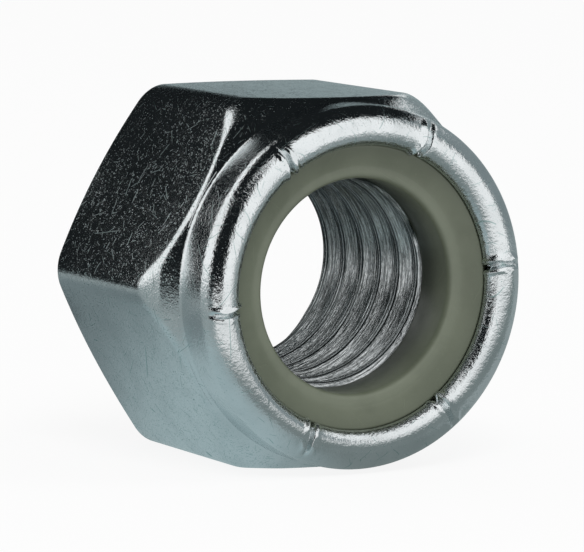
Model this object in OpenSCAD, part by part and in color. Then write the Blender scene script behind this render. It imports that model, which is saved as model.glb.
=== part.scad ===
// Self-locking hexagon nut with a crimped insert ring, lying on one of its flats.
// The thread axis runs along Y. The bearing face is at y = 0, and the collar points to -Y.

/* [Thread] */
// Nominal thread diameter
thread_d = 12; // [11:0.1:12.4]
// Thread pitch
pitch = 1.75; // [1.25:0.05:1.9]
// Turn of the thread about its axis, in degrees
thread_turn = 309; // [0:1:359]
// Facets of the thread in one turn
thread_steps = 36; // [24:6:48]
// Diameter of the countersink at the bearing face
countersink_d = 12.8; // [12.6:0.1:14]

/* [Hexagon] */
// Width across the flats
across_flats = 18; // [17.7:0.1:19]
// Width across the rounded corners
corner_d = 20.26; // [20:0.02:20.4]
// Height at which the corners stop, from the bearing face
corner_h = 9.74; // [8.8:0.02:10.2]
// Diameter of the shoulder at which the corner chamfer ends
shoulder_d = 19.1; // [18.7:0.1:19.9]
// Height of that shoulder above the bearing face
shoulder_h = 10.7; // [10.4:0.1:11]
// Diameter of the round bearing face
bearing_d = 16.85; // [15:0.05:17.5]
// Angle of the chamfer round the bearing face
bearing_angle = 30; // [20:1:40]

/* [Collar] */
// Outer diameter of the round collar
collar_d = 17.64; // [17.2:0.02:17.68]
// Rise from the shoulder to the foot of the collar
foot_rise = 0.6; // [0.4:0.1:1.2]
// Size of the blend at the foot of the collar
foot_blend = 0.15; // [0.05:0.05:0.3]
// Radius of the rolled rim
rim_r = 1; // [0.85:0.05:1.1]
// Diameter of the opening in the rolled rim
lip_d = 13.76; // [13.5:0.02:14.2]
// Height over all
nut_h = 14.2; // [14:0.1:15]

/* [Crimps] */
// Crimp marks round the rim
crimp_count = 6; // [3:1:8]
// Width of a crimp mark at the top of the rim
crimp_w = 0.5; // [0.3:0.05:0.9]
// Depth of a crimp mark below the top of the rim
crimp_depth = 0.42; // [0.2:0.02:0.6]
// Turn of the crimp marks from the corners, in degrees
crimp_turn = 6; // [0:1:30]

/* [Insert] */
// Outer diameter of the insert ring
insert_d = 15; // [14.4:0.1:15.2]
// Bore of the insert ring
insert_bore = 10.44; // [10.2:0.02:11]
// Length of the insert ring's bore
insert_len = 2.75; // [2:0.05:3]
// Radius of the edge between the ring's bore and its front
insert_edge = 0.35; // [0.2:0.05:0.6]
// Depth of the ring's front below the top of the rim, at the bore
insert_sink = 1.22; // [1:0.02:1.4]
// Depth of the ring's front below the top of the rim, at the rim's opening
lip_sink = 0.8; // [0.7:0.02:0.9]
// Depth of the ring's outer corner below the top of the rim
shoulder_sink = 1.4; // [1.2:0.05:1.8]
// Clearance round the ring in its pocket
insert_gap = 0.03; // [0.01:0.01:0.1]

/* [Hidden] */
$fn = 96;
// Cuts run past the faces by this much
over = 1;
// Half of the thread's flank angle
flank = 30;
foot_h = shoulder_h + foot_rise;
// An inside thread is five eighths of its sharp height deep
minor_r = thread_d / 2 - 5 / 8 * pitch * cos(flank);
countersink_h = (countersink_d / 2 - minor_r) * tan(30);
rim_mid_r = collar_d / 2 - rim_r;
rim_mid_h = nut_h - rim_r;
insert_front_h = nut_h - insert_sink;
insert_rear_h = insert_front_h - insert_len;
pocket_floor_h = insert_rear_h - insert_gap;
pocket_r = insert_d / 2 + insert_gap;

// Puts what was drawn along Z on its flat, with the collar to -Y
module lying() {
  rotate([90, 0, 0]) children();
}

// Six-sided bar with its edges rounded off and both rows of corners chamfered
module hexagon() {
  intersection() {
    cylinder(h = nut_h, d = across_flats / cos(30), $fn = 6);
    rotate_extrude() hexagon_limit();
  }
}

// Outline of what the edges and both chamfers leave of the bar, up to the foot of the collar
module hexagon_limit() {
  rear_h = (corner_d - bearing_d) / 2 * tan(bearing_angle);
  polygon([
    [0, 0],
    [bearing_d / 2, 0],
    [corner_d / 2, rear_h],
    [corner_d / 2, corner_h],
    [shoulder_d / 2, shoulder_h],
    [collar_d / 2 + foot_blend, foot_h - foot_blend / 2],
    [collar_d / 2, foot_h + foot_blend],
    [0, foot_h + foot_blend]
  ]);
}

// Round collar whose wall is rolled inwards over the ring
module collar() {
  rotate_extrude() {
    translate([0, shoulder_h]) square([collar_d / 2, rim_mid_h - shoulder_h]);
    intersection() {
      translate([rim_mid_r, rim_mid_h]) circle(rim_r);
      translate([0, rim_mid_h]) square([collar_d, nut_h]);
    }
  }
}

// Room for the ring, closed in front by the rolled rim
module pocket() {
  rotate_extrude()
    polygon([
      [0, pocket_floor_h],
      [pocket_r, pocket_floor_h],
      [pocket_r, nut_h - shoulder_sink],
      [lip_d / 2, nut_h - lip_sink],
      [lip_d / 2, nut_h + over],
      [0, nut_h + over]
    ]);
}

// Bore at the thread's smallest diameter, with the countersink in the bearing face
module bore() {
  translate([0, 0, -over]) cylinder(h = nut_h, r = minor_r);
  cone_h = countersink_h + over;
  cone_r = countersink_d / 2 + over / tan(30);
  translate([0, 0, -over]) cylinder(h = cone_h, r1 = cone_r, r2 = minor_r);
}

// Screw-shaped groove between the crests of the thread
module thread_groove() {
  reach = 0.3;
  inner_r = minor_r - reach;
  outer_r = thread_d / 2;
  outer_w = pitch / 16;
  inner_w = outer_w + (outer_r - inner_r) * tan(flank);
  start_h = -pitch;
  rings = ceil(thread_steps * (pocket_floor_h + pitch - start_h) / pitch);
  points = [
    for (i = [0:rings])
      let (turn = 360 * i / thread_steps, h = start_h + pitch * i / thread_steps)
        for (p = [[inner_r, -inner_w], [outer_r, -outer_w], [outer_r, outer_w], [inner_r, inner_w]])
          [p[0] * cos(turn), p[0] * sin(turn), h + p[1]]
  ];
  sides = [
    for (i = [0:rings - 1], k = [0:3])
      let (a = 4 * i + k, b = 4 * i + (k + 1) % 4)
        each [[a, b + 4, a + 4], [a, b, b + 4]]
  ];
  last = 4 * rings;
  ends = [[for (k = [3:-1:0]) k], [for (k = [0:3]) last + k]];
  rotate([0, 0, thread_turn]) polyhedron(points, concat(sides, ends));
}

// Marks that the crimping tool's jaws leave across the rim
module crimp_marks() {
  for (i = [0:crimp_count - 1])
    rotate([0, 0, crimp_turn + 360 / crimp_count * i])
      translate([lip_d / 2 - over, 0, nut_h])
        rotate([90, 0, 90])
          linear_extrude(2 * rim_r + over)
            polygon([[0, -crimp_depth], [crimp_w, crimp_depth], [-crimp_w, crimp_depth]]);
}

// Forged steel body: hexagon, collar, rolled rim and thread in one piece
module nut_body() {
  color("lightslategray") lying() difference() {
    union() {
      hexagon();
      collar();
    }
    bore();
    pocket();
    thread_groove();
    crimp_marks();
  }
}

// Moulded ring that grips the bolt's thread, held under the rolled rim
module insert_ring() {
  color("darkolivegreen") lying() rotate_extrude() {
    polygon([
      [insert_bore / 2, insert_rear_h],
      [insert_d / 2, insert_rear_h],
      [insert_d / 2, nut_h - shoulder_sink - insert_gap],
      [lip_d / 2 - insert_gap, nut_h - lip_sink - insert_gap],
      [insert_bore / 2 + insert_edge, insert_front_h],
      [insert_bore / 2, insert_front_h - insert_edge]
    ]);
    translate([insert_bore / 2 + insert_edge, insert_front_h - insert_edge]) circle(insert_edge);
  }
}

nut_body();
insert_ring();
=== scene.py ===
# Self-locking hexagon nut: zinc-plated steel body with a crimped collar, and the moulded ring inside it.
# Lengths in the properties are in metres. Shapes are worked out in millimetres along the thread axis,
# then laid on a flat.
import math

import bmesh
import bpy
import numpy as np
from mathutils import Matrix, Vector

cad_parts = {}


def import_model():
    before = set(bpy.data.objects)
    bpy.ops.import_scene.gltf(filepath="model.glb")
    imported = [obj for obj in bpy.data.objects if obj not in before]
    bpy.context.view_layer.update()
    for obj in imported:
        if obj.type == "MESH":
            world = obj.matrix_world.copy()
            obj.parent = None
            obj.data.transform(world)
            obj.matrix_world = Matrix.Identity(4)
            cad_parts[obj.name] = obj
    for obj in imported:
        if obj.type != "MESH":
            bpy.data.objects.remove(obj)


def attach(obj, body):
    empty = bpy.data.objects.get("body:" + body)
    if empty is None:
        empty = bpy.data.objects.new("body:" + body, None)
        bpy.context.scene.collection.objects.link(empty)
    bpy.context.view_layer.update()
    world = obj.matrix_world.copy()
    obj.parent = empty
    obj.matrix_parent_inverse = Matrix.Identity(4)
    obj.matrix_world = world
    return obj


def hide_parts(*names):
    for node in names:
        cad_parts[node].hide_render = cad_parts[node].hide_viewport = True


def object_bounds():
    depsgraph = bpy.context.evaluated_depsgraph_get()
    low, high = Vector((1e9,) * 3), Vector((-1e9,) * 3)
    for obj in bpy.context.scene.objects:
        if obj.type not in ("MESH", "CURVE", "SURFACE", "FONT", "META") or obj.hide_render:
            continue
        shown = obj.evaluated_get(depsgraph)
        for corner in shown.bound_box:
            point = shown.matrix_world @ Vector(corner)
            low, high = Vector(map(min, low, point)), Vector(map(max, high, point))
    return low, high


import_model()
CAD_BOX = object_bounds()

bl_info = {
    "name": "Self-locking nut",
    "version": (1, 0, 0),
    "blender": (4, 5, 0),
    "location": "View3D > Sidebar > Nut",
    "description": "Builds a self-locking hexagon nut with its insert ring, and a plain stage for it",
    "category": "Add Mesh",
}

MM = 0.001
# Points closer than this, in millimetres, become one
WELD_REACH = 0.0003
COS30 = math.cos(math.radians(30))
TAN30 = math.tan(math.radians(30))


# Properties

def length(name, description, default_mm):
    return bpy.props.FloatProperty(name=name, description=description, default=default_mm * MM,
                                   min=0.0, precision=5, subtype="DISTANCE", unit="LENGTH")


def angle(name, description, default_degrees):
    return bpy.props.FloatProperty(name=name, description=description,
                                   default=math.radians(default_degrees), subtype="ANGLE")


def colour(name, description, default):
    return bpy.props.FloatVectorProperty(name=name, description=description, default=default,
                                         min=0.0, max=1.0, size=3, subtype="COLOR")


def share(name, description, default):
    return bpy.props.FloatProperty(name=name, description=description, default=default,
                                   min=0.0, max=1.0, subtype="FACTOR")


class NutSizes(bpy.types.PropertyGroup):
    """Sizes of the nut, the same as in the part's source"""

    thread_d: length("Thread diameter", "Nominal thread diameter", 12)
    pitch: length("Pitch", "Thread pitch", 1.75)
    thread_turn: angle("Thread turn", "Turn of the thread about its axis", 309)
    countersink_d: length("Countersink", "Diameter of the countersink at the bearing face", 12.8)
    across_flats: length("Across flats", "Width across the flats", 18)
    edge_r: length("Edge radius", "Radius of the six rounded edges", 1.7)
    foot_round: length("Foot radius", "Radius of the curve between the shoulder and the collar", 0.35)
    corner_d: length("Corner diameter", "Width across the rounded corners", 20.26)
    corner_h: length("Corner height", "Height at which the corners stop", 9.74)
    shoulder_d: length("Shoulder diameter", "Diameter at which the corner chamfer ends", 19.1)
    shoulder_h: length("Shoulder height", "Height of that shoulder", 10.7)
    bearing_d: length("Bearing face", "Diameter of the round bearing face", 16.85)
    collar_d: length("Collar diameter", "Outer diameter of the collar", 17.64)
    foot_rise: length("Foot rise", "Rise from the shoulder to the foot of the collar", 0.6)
    foot_blend: length("Foot blend", "Size of the blend at the foot of the collar", 0.15)
    rim_r: length("Rim radius", "Radius of the rolled rim", 1)
    lip_d: length("Lip diameter", "Opening in the rolled rim", 13.76)
    nut_h: length("Height", "Height over all", 14.2)
    crimp_count: bpy.props.IntProperty(name="Crimps", description="Crimp marks round the rim",
                                       default=6, min=1)
    crimp_w: length("Crimp width", "Width of a crimp mark at the top of the rim", 0.5)
    crimp_depth: length("Crimp depth", "Depth of a crimp mark below the top of the rim", 0.42)
    crimp_turn: angle("Crimp turn", "Turn of the crimps from the corners", 6)
    insert_d: length("Ring diameter", "Outer diameter of the insert ring", 15)
    insert_bore: length("Ring bore", "Bore of the insert ring", 10.44)
    insert_len: length("Ring length", "Length of the ring's bore", 2.75)
    insert_edge: length("Ring edge", "Radius between the ring's bore and its front", 0.35)
    insert_sink: length("Ring sink", "Depth of the ring's front below the rim at its bore", 1.22)
    lip_sink: length("Lip sink", "Depth of the ring's front below the rim at the lip", 0.8)
    shoulder_sink: length("Ring shoulder", "Depth of the ring's outer corner below the rim", 1.4)
    insert_gap: length("Ring gap", "Clearance round the ring in its pocket", 0.03)


class NutLooks(bpy.types.PropertyGroup):
    """Colours and finishes of the nut and its stage"""

    zinc: colour("Zinc", "Colour of the zinc plate", (0.80, 0.835, 0.845))
    zinc_dull: colour("Dull zinc", "Colour of the duller patches of the plate", (0.66, 0.70, 0.71))
    # Zinc marks and shade: the tap's streaks in the thread, darkened as painted shade, and painted shade in
    # lines on the crests
    zinc_marks_and_shade: colour("Deep zinc", "Colour of the plate in the thread's tool marks", (0.05, 0.065, 0.065))
    zinc_speck: colour("Specked zinc", "Colour of the specks and scratches in the plate", (0.42, 0.56, 0.55))
    ring: colour("Ring", "Colour of the moulded ring", (0.140, 0.160, 0.114))
    # Ring clouds and shade: the ring's darker clouds, and also the painted shade towards the rim
    ring_clouds_and_shade: colour("Deep ring", "Colour of the ring's darker clouds", (0.106, 0.123, 0.086))
    # Ring edge highlight: a painted highlight, the paler band on the ring's rounded inner edge
    ring_edge_highlight: colour("Ring edge", "Colour of the ring's rubbed inner edge", (0.30, 0.33, 0.26))
    # Ring bore shade: painted shade deep in the ring's bore, towards the thread
    ring_bore_shade: colour("Ring inside", "Colour of the ring's bore towards the thread", (0.022, 0.028, 0.022))
    floor: colour("Floor", "Colour of the floor", (0.93, 0.93, 0.93))
    scratches: share("Scratches", "How much the scratches and specks show", 1.0)


# Shapes

def grid_object(name, points, faces):
    """An object made from points in millimetres"""
    mesh = bpy.data.meshes.new(name)
    mesh.from_pydata((points * MM).tolist(), [], faces)
    mesh.update()
    obj = bpy.data.objects.new(name, mesh)
    bpy.context.scene.collection.objects.link(obj)
    return obj


def weld(obj, distance_mm):
    """Joins points that meet, and makes sure that the piece is closed"""
    work = bmesh.new()
    work.from_mesh(obj.data)
    bmesh.ops.remove_doubles(work, verts=work.verts, dist=distance_mm * MM)
    bmesh.ops.dissolve_degenerate(work, edges=work.edges, dist=distance_mm * MM * 0.1)
    bmesh.ops.recalc_face_normals(work, faces=work.faces)
    open_edges = [e for e in work.edges if len(e.link_faces) != 2]
    if open_edges:
        raise RuntimeError(f"{obj.name} has {len(open_edges)} open edges")
    work.to_mesh(obj.data)
    work.free()


def lie_down(x, y, z):
    """Lays points on the nut's flat, with the collar towards -Y"""
    return np.stack([x, -z, y], axis=-1)


def soft_min(first, second, blend):
    """The smaller of two values, with the step between them rounded over"""
    mix = np.clip(0.5 + 0.5 * (second - first) / blend, 0, 1)
    return second * (1 - mix) + first * mix - blend * mix * (1 - mix)


def rounded_path(corners, steps):
    """Rows of points along corners of (radius, height, rounding), each an array over the angles"""
    rows = [(corners[0][0], corners[0][1])]
    for before, corner, after in zip(corners, corners[1:], corners[2:]):
        r, h, rounding = corner
        back = np.stack([before[0] - r, before[1] - h])
        on = np.stack([after[0] - r, after[1] - h])
        back_len = np.maximum(np.hypot(*back), 1e-9)
        on_len = np.maximum(np.hypot(*on), 1e-9)
        back, on = back / back_len, on / on_len
        half = np.arccos(np.clip((back * on).sum(axis=0), -1, 1)) / 2
        reach = np.minimum(rounding / np.maximum(np.tan(half), 1e-3), 0.45 * np.minimum(back_len, on_len))
        for k in range(steps + 1):
            t = k / steps
            a, b = (1 - t) ** 2, t ** 2
            rows.append((r + reach * (a * back[0] + b * on[0]), h + reach * (a * back[1] + b * on[1])))
    rows.append((corners[-1][0], corners[-1][1]))
    return rows


def spread(rows, steps, added):
    """Adds rows to a rounded path after some of its corners: added maps a corner to their number"""
    out = []
    for i, row in enumerate(rows):
        out.append(row)
        corner, k = divmod(i, steps + 1)
        more = added.get(corner, 0) if k == 0 else 0
        for step in range(1, more + 1):
            t = step / (more + 1)
            nxt = rows[i + 1]
            out.append((row[0] * (1 - t) + nxt[0] * t, row[1] * (1 - t) + nxt[1] * t))
    return out


class NutShape:
    """Works out the points of both pieces from the sizes, in millimetres, with the thread axis along z"""

    NOT_LENGTHS = ("thread_turn", "crimp_turn", "crimp_count")
    # How far the edges at the shoulder and round the corner chamfer are blended over
    SHOULDER_BLEND = 0.05
    CHAMFER_BLEND = 0.24

    def __init__(self, sizes):
        for key in NutSizes.__annotations__:
            value = getattr(sizes, key)
            setattr(self, key, value if key in self.NOT_LENGTHS else value / MM)
        self.minor_r = self.thread_d / 2 - 5 / 8 * self.pitch * COS30
        self.foot_h = self.shoulder_h + self.foot_rise
        self.rim_mid_r = self.collar_d / 2 - self.rim_r
        self.rim_mid_h = self.nut_h - self.rim_r
        self.lip_r = self.lip_d / 2
        self.front_h = self.nut_h - self.insert_sink
        self.rear_h = self.front_h - self.insert_len
        self.floor_h = self.rear_h - self.insert_gap
        self.pocket_r = self.insert_d / 2 + self.insert_gap
        self.angles = self.column_angles()
        self.ones = np.ones_like(self.angles)

    def column_angles(self):
        """Columns lie closer at the hexagon's corners and at the crimps"""
        turn = math.degrees(self.crimp_turn)
        corner, crimp = 6.0, 3.1
        corner_step, crimp_step, flat_step = 0.5, 0.2, 1.0
        sector = [np.arange(-corner, turn - crimp - 0.3, corner_step),
                  np.arange(turn - crimp, turn + crimp, crimp_step),
                  np.arange(turn + crimp, 60 - corner - 0.5, flat_step)]
        return np.radians(np.concatenate([part + 60 * k for k in range(6) for part in sector]))

    def hexagon_r(self):
        """Distance from the axis to the hexagon's side, with rounded corners"""
        apothem = self.across_flats / 2
        off = np.radians(np.abs((np.degrees(self.angles) + 30) % 60 - 30))
        centre = (apothem - self.edge_r) / COS30
        limit = math.atan2(self.edge_r / 2, centre + self.edge_r * COS30)
        flat = apothem / np.cos(np.radians(30) - off)
        curve = centre * np.cos(off) + np.sqrt(np.maximum(self.edge_r ** 2 - (centre * np.sin(off)) ** 2, 0))
        return np.where(off < limit, curve, flat)

    def thread_r(self, h):
        """Radius of the threaded wall at height h"""
        groove = (h / self.pitch - (self.angles - self.thread_turn) / (2 * math.pi)) % 1.0
        away = np.minimum(groove, 1 - groove) * self.pitch
        flank_r = self.thread_d / 2 - (away - self.pitch / 16) / TAN30
        return np.clip(flank_r, self.minor_r, self.thread_d / 2)

    def thread_rows(self):
        """Rows that follow the screw line, cut off at the bearing face and at the pocket's floor"""
        root = 1 / 16
        crest = root + 5 / 8 * COS30 * TAN30
        # Half the width of the softened edges, as a share of the pitch
        soft = 0.026
        half = [root - soft, root + soft, (root + crest) / 2, crest - soft, crest + soft]
        phases = [0] + half + [1 - p for p in reversed(half)]
        lead = (self.angles - self.thread_turn) / (2 * math.pi)
        first = math.floor(-1 - lead[0]) * len(phases)
        last = math.ceil(self.floor_h / self.pitch - lead[0]) * len(phases)
        mouth_r = self.countersink_d / 2
        rows = []
        for i in range(first, last + 1):
            cycle, k = divmod(i, len(phases))
            h = np.clip((cycle + phases[k] + lead) * self.pitch, 0, self.floor_h)
            rows.append((np.maximum(self.thread_r(h), mouth_r - h / TAN30), h))
        return rows, len(phases)

    def limit_r(self, h):
        """Radius that the corner chamfer and the shoulder leave at height h"""
        foot_r, foot_h = self.collar_d / 2 + self.foot_blend, self.foot_h - self.foot_blend / 2
        corner_r, shoulder_r = self.corner_d / 2, self.shoulder_d / 2
        chamfer = corner_r + (shoulder_r - corner_r) * (h - self.corner_h) / (self.shoulder_h - self.corner_h)
        shoulder = shoulder_r + (foot_r - shoulder_r) * (h - self.shoulder_h) / (foot_h - self.shoulder_h)
        return soft_min(chamfer, shoulder, self.SHOULDER_BLEND)

    def foot_curve(self):
        """Radius and height where the curve leaves the shoulder, where its tangents meet, and its reach"""
        collar_r, shoulder_r = self.collar_d / 2, self.shoulder_d / 2
        foot_r, foot_h = collar_r + self.foot_blend, self.foot_h - self.foot_blend / 2
        lean = math.atan2(shoulder_r - foot_r, foot_h - self.shoulder_h)
        wall_h = self.shoulder_h + (shoulder_r - collar_r) / math.tan(lean)
        reach = self.foot_round * math.tan(lean / 2)
        return collar_r + reach * math.sin(lean), wall_h - reach * math.cos(lean), wall_h, reach

    def rear_rows(self, side):
        """Rows over the bearing face and its chamfer, then part of the way up the hexagon's side"""
        one = self.ones
        bearing_r = self.bearing_d / 2
        low_h, middle_h = 5, 7
        steps = 4
        rows = rounded_path([
            (one * self.countersink_d / 2, one * 0, 0),
            (one * bearing_r, one * 0, 0.12),
            (side, (side - bearing_r) * TAN30, 0.10),
            (side, one * low_h, 0),
        ], steps)
        return spread(rows, steps, {0: 2, 1: 2, 2: 1}) + [(side, one * middle_h)]

    def side_rows(self, side, foot_h):
        """Rows over the edge between the hexagon's side and the chamfer, up to the collar's foot"""
        corner_r, shoulder_r = self.corner_d / 2, self.shoulder_d / 2
        foot_r = self.collar_d / 2 + self.foot_blend
        edge = np.interp(side, [foot_r, shoulder_r, corner_r], [self.foot_h, self.shoulder_h, self.corner_h])
        over_edge = [-0.9, -0.42, -0.30, -0.19, -0.09, 0, 0.09, 0.19, 0.30, 0.42]
        over_shoulder = [-0.55, -0.12, -0.06, -0.02, 0.02, 0.06, 0.12, 0.3]
        heights = [edge + step for step in over_edge]
        for k, step in enumerate(over_shoulder):
            heights.append(np.maximum(self.shoulder_h + step, edge + over_edge[-1] + 0.01 * (k + 1)))
        # Rows that would pass the foot stay just below it, in their order
        spare = 0.003
        rows = []
        for k, h in enumerate(heights):
            h = np.minimum(h, foot_h - spare * (len(heights) - k))
            rows.append((soft_min(side, self.limit_r(h), self.CHAMFER_BLEND), h))
        return rows

    def collar_rows(self, side, start_r, start_h, wall_h, reach):
        """Rows round the curve at the collar's foot and up its wall to the rim"""
        collar_r = self.collar_d / 2
        start_r = np.minimum(side, start_r)
        rows = []
        for t in np.linspace(0, 1, 9):
            left = (1 - t) ** 2
            h = wall_h + reach * t * t + (start_h - wall_h) * left
            rows.append((collar_r + (start_r - collar_r) * left, self.ones * h))
        wall = np.linspace(wall_h + reach, self.rim_mid_h, 6)[1:]
        return rows + [(self.ones * collar_r, self.ones * h) for h in wall]

    def rim_rows(self):
        """Rows over the rolled rim with its crimps, down to the edge of its opening"""
        rows = []
        # Angle over the rim: 0 is outside, 90 is its top, and from there it goes down into the opening
        for beta in np.radians(np.arange(4, 157, 4)):
            press = self.crimp(self.rim_mid_r + self.rim_r * math.cos(beta), beta)
            reach = self.rim_r - press
            h = np.minimum(self.rim_mid_h + reach * math.sin(beta), self.nut_h)
            rows.append((self.rim_mid_r + reach * math.cos(beta), h))
        lip_h = self.nut_h - self.lip_sink
        press = self.crimp(self.lip_r, math.pi)
        for inset, rise in ((0.025, 0.17), (0.004, 0.13), (0.0, 0.08), (0.0, 0.02)):
            rows.append((self.lip_r + inset + press, self.ones * (lip_h + rise)))
        return rows

    def pocket_rows(self):
        """Rows under the rim and down the pocket to its floor"""
        one = self.ones
        under_r, under_h = 0.02, 0.01
        press = self.crimp(self.lip_r, math.pi)
        rows = rounded_path([
            (self.lip_r + under_r + press, one * (self.nut_h - self.lip_sink - under_h), 0),
            (one * self.pocket_r, one * (self.nut_h - self.shoulder_sink), 0.05),
            (one * self.pocket_r, one * self.floor_h, 0.05),
            (self.thread_r(one * self.floor_h), one * self.floor_h, 0),
        ], 2)
        return rows[:-1]

    def outside_rows(self):
        """Rows from the countersink's mouth over the hexagon, collar and rim to the pocket's floor"""
        side = self.hexagon_r()
        foot = self.foot_curve()
        outside = self.rear_rows(side) + self.side_rows(side, foot[1]) + self.collar_rows(side, *foot)
        return outside + self.rim_rows() + self.pocket_rows()

    def crimp(self, r, beta):
        """How deep the crimp marks press into the rim, negative where the metal stands up beside them"""
        sector = 2 * math.pi / self.crimp_count
        turn = self.angles - self.crimp_turn + sector / 2
        off = turn % sector - sector / 2
        # The sines give each mark its own bend, width, depth and uneven ridges
        which = np.floor(turn / sector)
        bend = 0.06 * np.sin(2.6 * beta + 2.3 * which)
        width = self.crimp_w * (0.30 + 0.05 * np.sin(1.7 * which))
        deep = 0.80 + 0.2 * np.sin(2.9 * which + 1.0)
        away = (r * np.sin(off) + bend) / width
        uneven = 1 + 0.7 * np.sign(away) * np.sin(1.3 * which + 0.5)
        groove = np.clip(1.0 - np.abs(away), 0, 1) * deep
        ridge = 0.22 * np.exp(-((np.abs(away) - 1.9) / 0.75) ** 2) * uneven
        start, full = math.radians(26), math.radians(80)
        share_in = min(max((beta - start) / (full - start), 0.0), 1.0)
        share_in *= share_in * (3 - 2 * share_in)
        return self.crimp_depth * 0.85 * share_in * (groove - ridge)

    def body_grid(self):
        """Points and faces of the body: the thread's rows first, then the rows of the outside"""
        inner, rows_a_turn = self.thread_rows()
        outer = self.outside_rows()
        rows = list(reversed(inner)) + outer[1:]
        count, columns = len(rows), len(self.angles)
        r = np.array([row[0] for row in rows])
        h = np.array([row[1] for row in rows])
        points = lie_down(r * np.cos(self.angles), r * np.sin(self.angles), h).reshape(-1, 3)
        helix = len(inner)
        faces = []
        for k in range(count):
            nxt = (k + 1) % count
            for j in range(columns):
                a, b = k * columns + j, nxt * columns + j
                if j + 1 < columns:
                    c, d = b + 1, a + 1
                else:
                    c, d = (self.seam_row(n, helix, rows_a_turn) * columns for n in (nxt, k))
                corners = list(dict.fromkeys((a, b, c, d)))
                if len(corners) > 2:
                    faces.append(corners)
        return points, faces

    @staticmethod
    def seam_row(k, helix, rows_a_turn):
        """The row that row k meets in the first column, where the screw line has come round once"""
        return max(k - rows_a_turn, 0) if k < helix else k

    def ring_rows(self):
        """The ring's outline, closed, with extra rows on its long stretches"""
        gap = self.insert_gap
        bore_r, out_r = self.insert_bore / 2, self.insert_d / 2
        shoulder_h = self.nut_h - self.shoulder_sink - gap
        lip = (self.lip_r - gap, self.nut_h - self.lip_sink - gap)
        corners = [
            (bore_r, self.rear_h + 1.2, 0), (bore_r, self.rear_h, 0.12), (out_r, self.rear_h, 0.15),
            (out_r, shoulder_h, 0.08), (*lip, 0.12), (bore_r + 0.62, self.front_h + 0.02, 0.4),
            (bore_r, self.front_h - 0.14, 1.5 * self.insert_edge), (bore_r, self.rear_h + 1.4, 0),
        ]
        corners = [tuple(np.full(1, value) for value in corner) for corner in corners]
        steps = 8
        return spread(rounded_path(corners, steps), steps, {1: 3, 2: 4, 4: 3, 5: 5})

    def ring_grid(self):
        """Points and faces of the ring, turned about the thread axis"""
        columns = 240
        turn = np.radians(np.arange(columns) * 360 / columns)
        rows = self.ring_rows()
        r = np.array([row[0] for row in rows]) * np.ones(columns)
        h = np.array([row[1] for row in rows]) * np.ones(columns)
        points = lie_down(r * np.cos(turn), r * np.sin(turn), h).reshape(-1, 3)
        faces = []
        for k in range(len(rows)):
            nxt = (k + 1) % len(rows)
            for j in range(columns):
                on = (j + 1) % columns
                faces.append([k * columns + j, nxt * columns + j, nxt * columns + on, k * columns + on])
        return points, faces


# Shader building blocks

class Nodes:
    """Short ways to add and join nodes in one tree"""

    def __init__(self, tree):
        self.tree = tree

    def add(self, kind, **values):
        node = self.tree.nodes.new(kind)
        for key, value in values.items():
            setattr(node, key, value)
        return node

    def join(self, source, target):
        if isinstance(source, (int, float, tuple)):
            target.default_value = source
        else:
            self.tree.links.new(source, target)

    def math(self, operation, *inputs, clamp=False):
        node = self.add("ShaderNodeMath", operation=operation, use_clamp=clamp)
        for value, socket in zip(inputs, node.inputs):
            self.join(value, socket)
        return node.outputs[0]

    def vector(self, operation, *inputs, out=0):
        node = self.add("ShaderNodeVectorMath", operation=operation)
        for value, socket in zip(inputs, node.inputs):
            self.join(value, socket)
        return node.outputs[out]

    def smooth(self, value, low, high, to_low=0.0, to_high=1.0):
        node = self.add("ShaderNodeMapRange", interpolation_type="SMOOTHSTEP")
        for source, socket in zip((value, low, high, to_low, to_high), node.inputs):
            self.join(source, socket)
        return node.outputs[0]

    def noise(self, vector, scale, detail=2.0, roughness=0.5):
        node = self.add("ShaderNodeTexNoise")
        self.join(vector, node.inputs["Vector"])
        self.join(scale, node.inputs["Scale"])
        self.join(detail, node.inputs["Detail"])
        self.join(roughness, node.inputs["Roughness"])
        return node.outputs["Fac"]

    def blend(self, share_value, first, second):
        node = self.add("ShaderNodeMix", data_type="RGBA")
        self.join(share_value, node.inputs[0])
        self.join(first, node.inputs[6])
        self.join(second, node.inputs[7])
        return node.outputs[2]

    def most(self, *values):
        """The greatest of some values"""
        greatest = values[0]
        for value in values[1:]:
            greatest = self.math("MAXIMUM", greatest, value)
        return greatest

    def apart(self, vector):
        node = self.add("ShaderNodeSeparateXYZ")
        self.join(vector, node.inputs[0])
        return node.outputs

    def group(self, tree, **inputs):
        node = self.add("ShaderNodeGroup", node_tree=tree)
        for key, value in inputs.items():
            self.join(value, node.inputs[key.replace("_", " ")])
        return node


def new_group(name, inputs, outputs):
    """The group of that name, and what fills it, which is None where it is already built"""
    old = bpy.data.node_groups.get(name)
    if old:
        return old, None, None, None
    tree = bpy.data.node_groups.new(name, "ShaderNodeTree")
    for label, kind, default in inputs:
        socket = tree.interface.new_socket(label, in_out="INPUT", socket_type=kind)
        if default is not None:
            socket.default_value = default
    for label, kind in outputs:
        tree.interface.new_socket(label, in_out="OUTPUT", socket_type=kind)
    n = Nodes(tree)
    return tree, n, n.add("NodeGroupInput").outputs, n.add("NodeGroupOutput").inputs


def place_in_mm():
    """Position on the piece in millimetres, and the distance from the thread axis"""
    tree, n, _, out = new_group("Place in millimetres", [],
                                [("Place", "NodeSocketVector"), ("Radius", "NodeSocketFloat")])
    if n:
        spot = n.add("ShaderNodeTexCoord").outputs["Object"]
        place = n.vector("SCALE", spot)
        place.node.inputs["Scale"].default_value = 1 / MM
        flat = n.vector("MULTIPLY", place, (1, 0, 1))
        n.join(place, out["Place"])
        n.join(n.vector("LENGTH", flat, out=1), out["Radius"])
    return tree


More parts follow.
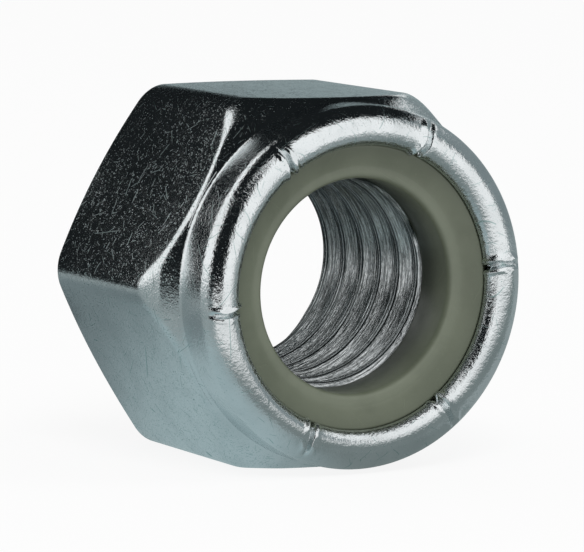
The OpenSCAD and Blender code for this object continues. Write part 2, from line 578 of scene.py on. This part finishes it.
def scratch_lines():
    """One straight scratch in some of the cells of a cell pattern, each turned its own way"""
    tree, n, given, out = new_group(
        "Scratch lines",
        [("Place", "NodeSocketVector", None), ("Scale", "NodeSocketFloat", 1.0),
         ("Width", "NodeSocketFloat", 0.02), ("Reach", "NodeSocketFloat", 0.5),
         ("Share", "NodeSocketFloat", 0.5)],
        [("Mask", "NodeSocketFloat")])
    if n:
        cells = n.add("ShaderNodeTexVoronoi")
        n.join(given["Place"], cells.inputs["Vector"])
        n.join(given["Scale"], cells.inputs["Scale"])
        from_middle = n.vector("SUBTRACT", given["Place"], cells.outputs["Position"])
        tilt = n.vector("NORMALIZE", n.vector("SUBTRACT", cells.outputs["Color"], (0.5, 0.5, 0.5)))
        away = n.math("ABSOLUTE", n.vector("DOT_PRODUCT", from_middle, tilt, out=1))
        line = n.smooth(away, 0.0, given["Width"], 1.0, 0.0)
        end = n.smooth(n.vector("LENGTH", from_middle, out=1), n.math("MULTIPLY", given["Reach"], 0.5),
                       given["Reach"], 1.0, 0.0)
        dice = n.add("ShaderNodeTexWhiteNoise")
        n.join(cells.outputs["Color"], dice.inputs["Vector"])
        chosen = n.math("LESS_THAN", dice.outputs["Value"], given["Share"])
        n.join(n.math("MULTIPLY", n.math("MULTIPLY", line, end), chosen), out["Mask"])
    return tree


def fine_grain():
    """Small uneven grain of a moulded or plated surface, and the specks that stand out of it in clusters"""
    tree, n, given, out = new_group(
        "Fine grain",
        [("Place", "NodeSocketVector", None), ("Scale", "NodeSocketFloat", 10.0),
         ("Speck share", "NodeSocketFloat", 0.3)],
        [("Height", "NodeSocketFloat"), ("Specks", "NodeSocketFloat")])
    if n:
        n.join(n.noise(given["Place"], given["Scale"], 2.0, 0.5), out["Height"])
        wide = n.noise(given["Place"], n.math("MULTIPLY", given["Scale"], 0.14), 2.0, 0.6)
        cluster = n.smooth(wide, 0.3, 0.7, 0.3, 1.7)
        cells = n.add("ShaderNodeTexVoronoi")
        n.join(given["Place"], cells.inputs["Vector"])
        n.join(given["Scale"], cells.inputs["Scale"])
        dice = n.add("ShaderNodeTexWhiteNoise")
        n.join(cells.outputs["Color"], dice.inputs["Vector"])
        thrown = dice.outputs["Value"]
        chosen = n.math("LESS_THAN", thrown, n.math("MULTIPLY", given["Speck share"], cluster))
        size = n.math("MULTIPLY_ADD", n.math("FRACT", n.math("MULTIPLY", thrown, 37.0)), 0.35, 0.2)
        dot = n.smooth(cells.outputs["Distance"], n.math("MULTIPLY", size, 0.4), size, 1.0, 0.0)
        bright = n.math("FRACT", n.math("MULTIPLY", thrown, 53.0))
        bright = n.math("MULTIPLY_ADD", n.math("MULTIPLY", bright, bright), 0.9, 0.2)
        n.join(n.math("MULTIPLY", n.math("MULTIPLY", dot, chosen), bright), out["Specks"])
    return tree


def new_material(name):
    """A material, its nodes and its Principled shader"""
    material = bpy.data.materials.new(name)
    material.use_nodes = True
    return material, Nodes(material.node_tree), material.node_tree.nodes["Principled BSDF"]


def raise_surface(n, height_mm, shader):
    """Fine relief of the surface, as a bump"""
    bump = n.add("ShaderNodeBump")
    bump.inputs["Strength"].default_value = 1.0
    bump.inputs["Distance"].default_value = MM
    n.join(height_mm, bump.inputs["Height"])
    n.join(bump.outputs[0], shader.inputs["Normal"])


def plate_scratches(n, place, worked, not_bore, amount):
    """Scratches of three lengths all over the plate, and short dashes where it was worked"""
    dashes = n.group(scratch_lines(), Place=place, Scale=5.5, Width=0.018, Reach=0.10, Share=0.16)
    short = n.group(scratch_lines(), Place=place, Scale=2.0, Width=0.02, Reach=0.3, Share=0.35)
    middle = n.group(scratch_lines(), Place=n.vector("ADD", place, (7.3, 2.1, 4.4)),
                     Scale=1.1, Width=0.022, Reach=0.6, Share=0.3)
    long_ones = n.group(scratch_lines(), Place=n.vector("ADD", place, (1.9, 8.2, 3.3)),
                        Scale=0.36, Width=0.03, Reach=1.7, Share=0.45)
    lines = n.most(short.outputs[0], middle.outputs[0], long_ones.outputs[0],
                   n.math("MULTIPLY", dashes.outputs[0], worked))
    return n.math("MULTIPLY", n.math("MULTIPLY", lines, amount), not_bore)


def thread_marks(n, shape, place, radius, in_bore):
    """Grain that the tap left along the thread, its dark streaks, partly tool marks and partly painted shade,
    and the lines beside the thread's crests, painted shade
    """
    x, y, z = n.apart(place)
    angle_now = n.math("ARCTAN2", z, x)
    lead = n.math("ADD", y, n.math("MULTIPLY", angle_now, shape.pitch / (2 * math.pi)))
    # Fine across the thread, long along it
    across, onward = 9.0, 2.2
    along = n.add("ShaderNodeCombineXYZ")
    for value, scale, socket in zip((radius, lead, angle_now), (across, across, onward), along.inputs):
        n.join(n.math("MULTIPLY", value, scale), socket)
    tool = n.noise(along.outputs[0], 1.4, 3.0, 0.65)
    # The tap's streaks, darkened as painted shade in the thread
    streaks = n.math("MULTIPLY", in_bore, n.smooth(tool, 0.36, 0.60, 1.0, 0.0))
    # Painted shade: dark lines along the thread's crests and their edges
    half = shape.pitch / 2
    groove = shape.pitch * shape.thread_turn / (2 * math.pi)
    from_groove = n.math("PINGPONG", n.math("SUBTRACT", groove, lead), half)
    from_crest = n.math("SUBTRACT", half, from_groove)
    from_edge = n.math("ABSOLUTE", n.math("SUBTRACT", from_crest, 0.20))
    crest = n.most(n.smooth(from_crest, 0.02, 0.07, 1.0, 0.0), n.smooth(from_edge, 0.01, 0.05, 1.0, 0.0))
    on_crest = n.smooth(radius, shape.minor_r + 0.15, shape.minor_r + 0.25, 1.0, 0.0)
    return tool, streaks, n.math("MULTIPLY", crest, n.math("MULTIPLY", in_bore, on_crest))


def zinc_material(looks, shape):
    """Bright zinc plate: patchy, specked and scratched, with tool marks along the thread that are darkened as
    painted shade, and painted shade beside the thread's crests
    """
    material, n, shader = new_material("zinc plate")
    shader.inputs["Metallic"].default_value = 1.0
    where = n.group(place_in_mm())
    place, radius = where.outputs["Place"], where.outputs["Radius"]
    y = n.apart(place)[1]
    thread_r, foot_y, rim_y = shape.thread_d / 2, -shape.foot_h, -shape.rim_mid_h
    in_bore = n.smooth(radius, thread_r + 0.30, thread_r + 0.45, 1.0, 0.0)
    not_bore = n.math("SUBTRACT", 1.0, in_bore)
    worked = n.math("MULTIPLY", n.smooth(y, foot_y - 0.1, foot_y + 0.4, 0.25, 1.0), not_bore)

    grain = n.group(fine_grain(), Place=place, Scale=11.0,
                    Speck_share=n.math("MULTIPLY", worked, 0.62 * looks.scratches))
    lines = plate_scratches(n, place, worked, not_bore, looks.scratches)
    tool, streaks, crest = thread_marks(n, shape, place, radius, in_bore)
    mottle = n.smooth(n.noise(n.vector("ADD", place, (4.1, 9.7, 2.2)), 12.0, 2.0, 0.7), 0.50, 0.78)
    mottle = n.math("MULTIPLY", mottle, worked)
    patches = n.smooth(n.noise(place, 0.55, 3.0, 0.55), 0.38, 0.68)
    marks = n.most(lines, grain.outputs["Specks"])

    plate = n.blend(n.math("MULTIPLY", patches, 0.6), (*looks.zinc, 1), (*looks.zinc_dull, 1))
    plate = n.blend(n.most(marks, mottle), plate, (*looks.zinc_speck, 1))
    # Painted shade in the thread: the streaks, partly tool marks, and the lines on the crests
    deep = n.most(n.math("MULTIPLY", streaks, 0.68), n.math("MULTIPLY", crest, 0.9))
    n.join(n.blend(deep, plate, (*looks.zinc_marks_and_shade, 1)), shader.inputs["Base Color"])

    rubbed = n.math("MULTIPLY", n.most(marks, n.math("MULTIPLY", mottle, 0.45)), 0.32)
    rough = n.math("ADD", n.smooth(n.noise(place, 2.2, 2.0), 0.3, 0.75, 0.10, 0.17), rubbed)
    n.join(n.math("ADD", rough, n.math("MULTIPLY", in_bore, 0.02), clamp=True), shader.inputs["Roughness"])

    on_rim = n.math("ADD", n.smooth(y, foot_y - 0.3, foot_y + 0.3, 0.45, 0.0),
                    n.smooth(y, rim_y - 0.3, rim_y + 0.3, 0.55, 0.0))
    dent_depth = n.math("MULTIPLY_ADD", n.math("MULTIPLY", on_rim, not_bore), 0.016, 0.008)
    dents = n.noise(n.vector("ADD", place, (12.0, 3.0, 6.0)), 4.6, 3.0, 0.6)
    rise = n.math("ADD", n.math("MULTIPLY", grain.outputs["Height"], 0.010),
                  n.math("MULTIPLY", dents, dent_depth))
    rise = n.math("ADD", rise, n.math("MULTIPLY", n.math("MULTIPLY", grain.outputs["Specks"], worked), 0.009))
    height = n.math("ADD", n.math("MULTIPLY", rise, not_bore),
                    n.math("MULTIPLY", lines, n.math("MULTIPLY", worked, -0.004)))
    height = n.math("ADD", height, n.math("MULTIPLY", tool, n.math("MULTIPLY", in_bore, 0.045)))
    raise_surface(n, n.math("SUBTRACT", height, n.math("MULTIPLY", crest, 0.05)), shader)
    return material


def ring_material(looks, shape):
    """Moulded polymer: cloudy olive grey with a soft sheen, faint grain and a few scuffs, with painted shade
    towards the rim and deep in the bore, and a painted highlight on the inner edge
    """
    material, n, shader = new_material("ring polymer")
    shader.inputs["Specular IOR Level"].default_value = 0.5
    where = n.group(place_in_mm())
    place, radius = where.outputs["Place"], where.outputs["Radius"]
    y = n.apart(place)[1]
    bore_r, front_y, rear_y = shape.insert_bore / 2, -shape.front_h, -shape.rear_h
    grain = n.group(fine_grain(), Place=place, Scale=7.0, Speck_share=0.25)
    scuffs = n.group(scratch_lines(), Place=place, Scale=0.8, Width=0.03, Reach=0.7, Share=0.35)
    clouds = n.smooth(n.noise(place, 0.5, 3.0, 0.6), 0.35, 0.7)
    mark = n.most(n.math("MULTIPLY", scuffs.outputs[0], 0.5),
                  n.math("MULTIPLY", grain.outputs["Specks"], 0.35))

    # Painted shade: the ring darkens towards the rim, where it meets the lip
    shade_towards_rim = n.smooth(radius, bore_r + 0.58, shape.lip_r + 0.07, 0.0, 0.7)
    # Painted highlight: a paler band round the ring's rounded inner edge
    edge = n.math("MULTIPLY", n.smooth(radius, bore_r + 0.04, bore_r + 0.20),
                  n.smooth(radius, bore_r + 0.33, bore_r + 0.88, 1.0, 0.0))
    # Painted shade: the ring's bore darkens deeper in, towards the thread
    inside = n.math("MULTIPLY", n.smooth(radius, bore_r + 0.08, bore_r + 0.28, 1.0, 0.0),
                    n.smooth(y, front_y + 0.48, rear_y - 0.37, 0.0, 0.8))
    base = n.blend(n.math("MULTIPLY", clouds, 0.7), (*looks.ring, 1), (*looks.ring_clouds_and_shade, 1))
    base = n.blend(shade_towards_rim, base, (*looks.ring_clouds_and_shade, 1))
    base = n.blend(n.math("MULTIPLY", edge, 0.2), base, (*looks.ring_edge_highlight, 1))
    base = n.blend(inside, base, (*looks.ring_bore_shade, 1))
    pale = tuple(min(1.0, value * 1.5) for value in looks.ring)
    n.join(n.blend(n.math("MULTIPLY", mark, 0.3), base, (*pale, 1)), shader.inputs["Base Color"])

    n.join(n.math("ADD", n.smooth(n.noise(place, 1.5), 0.3, 0.7, 0.29, 0.38),
                  n.math("MULTIPLY", mark, 0.12)), shader.inputs["Roughness"])
    grain_and_scuffs = n.math("SUBTRACT", grain.outputs["Height"], scuffs.outputs[0])
    raise_surface(n, n.math("MULTIPLY", grain_and_scuffs, 0.004), shader)
    return material


# Stage

NUT_FLOOR = CAD_BOX[0][2]
BLACK = (0.010, 0.012, 0.013)
WHITE = (0.85, 0.88, 0.88)
PALE = (0.9, 0.9, 0.9)
GREY = (0.235, 0.275, 0.285)
LOW_GREY = (0.200, 0.235, 0.235)
REAR_GREY = (0.285, 0.350, 0.362)
# Cards that only the metal and the ring reflect. The far ones are parts of a sphere, in metres and degrees:
# azimuth 0 is in front and 90 is at the left.
CARD_DISTANCE = 0.4
FAR_CARDS = {
    "card right rear": dict(azimuth=(-178, -128), elevation=(-3, 22), colour=REAR_GREY),
    "card right low": dict(azimuth=(-128, -46), elevation=(-3, 36), colour=GREY),
    "card right edge": dict(azimuth=(-46, -42), elevation=(-3, 49), colour=BLACK),
}
# The near ones are flat, by their corners in millimetres. Behind the nut, white stands on black.
ABOVE = 15
REAR = 10
REAR_SPLIT = 0.4
NEAR_CARDS = {
    "card above": dict(colour=BLACK, corners=[
        (x, y, ABOVE) for x, y in (
            (11, -20), (11, 28), (-31, 28), (-26.5, 19), (-22, 10.8), (-16, 2.5), (-8, -2), (-7, -9),
            (-21, -9), (-21, -20))]),
    "card left rear": dict(colour=BLACK, corners=[
        (-30, 15, -4.5), (14, 42, -2), (14, 42, 15), (-30, 15, 15)]),
    "card left front": dict(colour=BLACK, corners=[
        (-9.5, -35, -4), (-64, -19, -6), (-64, -19, 9), (-50, -23.1, 9), (-64, -19, 18), (-64, -19, 46),
        (-47, -24, 40), (-9.5, -35, 24)]),
    "card behind low": dict(colour=BLACK, corners=[
        (-9, REAR, -7), (13, REAR, -7), (13, REAR, REAR_SPLIT), (-9, REAR, REAR_SPLIT)]),
    "card behind high": dict(colour=WHITE, corners=[
        (-9, REAR, REAR_SPLIT), (13, REAR, REAR_SPLIT), (13, REAR, 7), (-9, REAR, 7)]),
    "card low front": dict(colour=LOW_GREY, fade=(-6.0, -2.0), corners=[
        (-20, -22, -9), (30, -22, -9), (30, -22, -1), (-20, -22, -1)]),
}
# Soft spots on the ground's card, darker ones a painted shadow of the nut on the floor and a paler one a
# painted pool of light: colour, middle, and the distances where each begins and ends to fade
GROUND = (0.31, 0.355, 0.36)
GROUND_LIGHT_AND_SHADOW = (
    ((0.175, 0.215, 0.225), (-14, 14), (8, 26)),
    ((0.36, 0.455, 0.475), (-10, -9), (4, 20)),
    ((0.19, 0.225, 0.225), (4, -15), (4, 10)),
)
LAMPS = {
    "key lamp": dict(azimuth=22, elevation=50, distance=1.2, size=0.5, power=5.0),
    "fill lamp": dict(azimuth=-60, elevation=40, distance=1.2, size=0.6, power=2.0),
}


def aim(azimuth, elevation):
    """Direction from the nut, with azimuth 0 in front and 90 at the left"""
    a, e = math.radians(azimuth), math.radians(elevation)
    return Vector((-math.sin(a) * math.cos(e), -math.cos(a) * math.cos(e), math.sin(e)))


def only_in_reflections(obj):
    """Hides a card from everything except the reflections in the nut"""
    for way in ("camera", "diffuse", "transmission", "shadow", "volume_scatter"):
        setattr(obj, "visible_" + way, False)


def glow(name, shade):
    """Material that gives off one colour and lights nothing"""
    material = bpy.data.materials.new(name)
    material.use_nodes = True
    material.cycles.emission_sampling = "NONE"
    n = Nodes(material.node_tree)
    material.node_tree.nodes.remove(material.node_tree.nodes["Principled BSDF"])
    light = n.add("ShaderNodeEmission")
    n.join((*shade, 1), light.inputs["Color"])
    n.join(light.outputs[0], material.node_tree.nodes["Material Output"].inputs["Surface"])
    return material, n, light.inputs["Color"]


def shell_card(name, azimuth, elevation, colour):
    """Part of a sphere round the nut between two azimuths and two elevations"""
    across = np.linspace(*azimuth, 25)
    up = np.linspace(*elevation, 13)
    points = np.array([aim(a, e) * CARD_DISTANCE / MM for e in up for a in across])
    columns = len(across)
    faces = [[i * columns + j, i * columns + j + 1, (i + 1) * columns + j + 1, (i + 1) * columns + j]
             for i in range(len(up) - 1) for j in range(columns - 1)]
    card = grid_object(name, points, faces)
    card.data.materials.append(glow(name, colour)[0])
    only_in_reflections(card)


def near_card(name, corners, colour, fade=None):
    """Flat card; a fading one turns white upwards, lower at the left than at the right"""
    card = grid_object(name, np.array(corners, float), [list(range(len(corners)))])
    material, n, shown = glow(name, colour)
    if fade:
        spot = n.add("ShaderNodeTexCoord").outputs["Object"]
        level = n.vector("DOT_PRODUCT", spot, (-0.2 / MM, 0, 1 / MM), out=1)
        n.join(n.blend(n.smooth(level, *fade), (*colour, 1), (*PALE, 1)), shown)
    card.data.materials.append(material)
    only_in_reflections(card)


def ground_card():
    """Blue-grey card round the nut, just above the floor, palest beside the nut's left front in a painted
    pool of light, and darker in spots of painted shadow round the nut
    """
    turn = np.radians(np.arange(0, 360, 3))
    front = np.clip(np.cos(turn - math.radians(-10)) * 3.0 - 1.6, 0, 1)
    far, near, above_floor = 400, 38, 0.02
    reach = far * (1 - front) + near * front
    height = np.full(len(turn), NUT_FLOOR / MM + above_floor)
    points = np.stack([-np.sin(turn) * reach, -np.cos(turn) * reach, height], axis=-1)
    card = grid_object("card ground", points, [list(range(len(turn)))])
    material, n, shown = glow("card ground", GROUND)
    spot = n.add("ShaderNodeTexCoord").outputs["Object"]
    shade = (*GROUND, 1)
    # Darker spots are painted shadow of the nut, the paler one a painted pool of light
    for colour_now, (x, y), (start, end) in GROUND_LIGHT_AND_SHADOW:
        away = n.vector("DISTANCE", spot, (x * MM, y * MM, NUT_FLOOR), out=1)
        shade = n.blend(n.smooth(away, start * MM, end * MM, 1.0, 0.0), shade, (*colour_now, 1))
    n.join(shade, shown)
    card.data.materials.append(material)
    only_in_reflections(card)


def seen_directly(n):
    """1 for what the camera sees, also in metal and through glass"""
    path = n.add("ShaderNodeLightPath").outputs
    return n.most(path["Is Camera Ray"], path["Is Glossy Ray"], path["Is Transmission Ray"])


def floor(looks):
    """Plain pale floor, nearly white to the camera"""
    reach = 2.0
    corners = np.array([[-1, -1], [1, -1], [1, 1], [-1, 1]]) * reach / MM
    points = np.column_stack([corners, np.full(4, NUT_FLOOR / MM)])
    obj = grid_object("floor", points, [[0, 1, 2, 3]])
    material, n, shader = new_material("floor")
    material.cycles.emission_sampling = "NONE"
    shader.inputs["Base Color"].default_value = (*looks.floor, 1)
    shader.inputs["Roughness"].default_value = 1.0
    shader.inputs["Specular IOR Level"].default_value = 0.0
    # What is left of the lit floor keeps the nut's shadow
    white_share = 0.88
    mix = n.add("ShaderNodeMixShader")
    n.join(n.math("MULTIPLY", seen_directly(n), white_share), mix.inputs[0])
    n.join(shader.outputs[0], mix.inputs[1])
    n.join(n.add("ShaderNodeEmission").outputs[0], mix.inputs[2])
    n.join(mix.outputs[0], material.node_tree.nodes["Material Output"].inputs["Surface"])
    obj.data.materials.append(material)


def world():
    """White all round where it is seen, and a softer light on the nut"""
    shade = bpy.data.worlds.new("studio")
    bpy.context.scene.world = shade
    shade.use_nodes = True
    n = Nodes(shade.node_tree)
    back = shade.node_tree.nodes["Background"]
    back.inputs["Color"].default_value = (1, 1, 1, 1)
    soft_light = 0.55
    n.join(n.math("MAXIMUM", seen_directly(n), soft_light), back.inputs["Strength"])


def lamp(name, azimuth, elevation, distance, size, power):
    """Round soft lamp that the metal doesn't reflect"""
    data = bpy.data.lights.new(name, "AREA")
    data.shape = "DISK"
    data.size = size
    data.energy = power
    obj = bpy.data.objects.new(name, data)
    towards = aim(azimuth, elevation)
    obj.location = towards * distance
    obj.rotation_euler = towards.to_track_quat("Z", "Y").to_euler()
    obj.visible_glossy = False
    bpy.context.scene.collection.objects.link(obj)


def camera():
    """Camera at the photograph's place, found from the outlines of the nut"""
    azimuth, elevation, roll, distance = 29.86, 6.88, 0.80, 0.2170
    target = Vector((0, -0.0063, 0))
    data = bpy.data.cameras.new("camera")
    data.sensor_width, data.lens = 36.0, 270.9
    data.shift_x, data.shift_y = 0.0047, -0.0076
    data.clip_start, data.clip_end = 0.01, 20
    obj = bpy.data.objects.new("camera", data)
    back = aim(azimuth, elevation)
    right = Vector((0, 0, 1)).cross(back).normalized()
    up = back.cross(right)
    c, s = math.cos(math.radians(roll)), math.sin(math.radians(roll))
    turned = Matrix((right * c + up * s, up * c - right * s, back)).transposed()
    obj.matrix_world = Matrix.Translation(target + back * distance) @ turned.to_4x4()
    bpy.context.scene.collection.objects.link(obj)
    bpy.context.scene.camera = obj


# Operators and panel

def dress(obj, material, node):
    """Gives a piece its material and shading, and puts it in place of its node"""
    obj.data.materials.append(material)
    obj.data.polygons.foreach_set("use_smooth", [True] * len(obj.data.polygons))
    shading = obj.modifiers.new("even shading", "WEIGHTED_NORMAL")
    shading.keep_sharp = False
    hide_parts(node)
    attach(obj, "root")


class NUT_OT_body(bpy.types.Operator):
    """Build the steel body with its thread, collar and crimped rim"""

    bl_idname = "nut.body"
    bl_label = "Nut body"

    def execute(self, context):
        scene = context.scene
        shape = NutShape(scene.nut_sizes)
        obj = grid_object("steel_body", *shape.body_grid())
        weld(obj, WELD_REACH)
        dress(obj, zinc_material(scene.nut_looks, shape), "nut_body")
        return {"FINISHED"}


class NUT_OT_ring(bpy.types.Operator):
    """Build the moulded ring inside the collar"""

    bl_idname = "nut.ring"
    bl_label = "Insert ring"

    def execute(self, context):
        scene = context.scene
        shape = NutShape(scene.nut_sizes)
        obj = grid_object("moulded_ring", *shape.ring_grid())
        weld(obj, WELD_REACH)
        dress(obj, ring_material(scene.nut_looks, shape), "insert_ring")
        return {"FINISHED"}


class NUT_OT_stage(bpy.types.Operator):
    """Set the floor, the light, the reflection cards and the camera"""

    bl_idname = "nut.stage"
    bl_label = "Stage"

    def execute(self, context):
        floor(context.scene.nut_looks)
        world()
        for name, facts in FAR_CARDS.items():
            shell_card(name, **facts)
        for name, facts in NEAR_CARDS.items():
            near_card(name, **facts)
        ground_card()
        for name, facts in LAMPS.items():
            lamp(name, **facts)
        camera()
        context.scene.view_settings.view_transform = "Standard"
        return {"FINISHED"}


class NUT_PT_panel(bpy.types.Panel):
    """Lists the nut's operators, sizes and looks"""

    bl_label = "Self-locking nut"
    bl_idname = "NUT_PT_panel"
    bl_space_type = "VIEW_3D"
    bl_region_type = "UI"
    bl_category = "Nut"

    def draw(self, context):
        for operator in (NUT_OT_stage, NUT_OT_body, NUT_OT_ring):
            self.layout.operator(operator.bl_idname)
        for group in (context.scene.nut_sizes, context.scene.nut_looks):
            column = self.layout.column(align=True)
            for key in type(group).__annotations__:
                column.prop(group, key)


CLASSES = (NutSizes, NutLooks, NUT_OT_body, NUT_OT_ring, NUT_OT_stage, NUT_PT_panel)


def register():
    for entry in CLASSES:
        bpy.utils.register_class(entry)
    bpy.types.Scene.nut_sizes = bpy.props.PointerProperty(type=NutSizes)
    bpy.types.Scene.nut_looks = bpy.props.PointerProperty(type=NutLooks)


def unregister():
    del bpy.types.Scene.nut_looks
    del bpy.types.Scene.nut_sizes
    for entry in reversed(CLASSES):
        bpy.utils.unregister_class(entry)


def main():
    register()
    bpy.ops.nut.stage()
    bpy.ops.nut.body()
    bpy.ops.nut.ring()


if __name__ == "__main__":
    main()
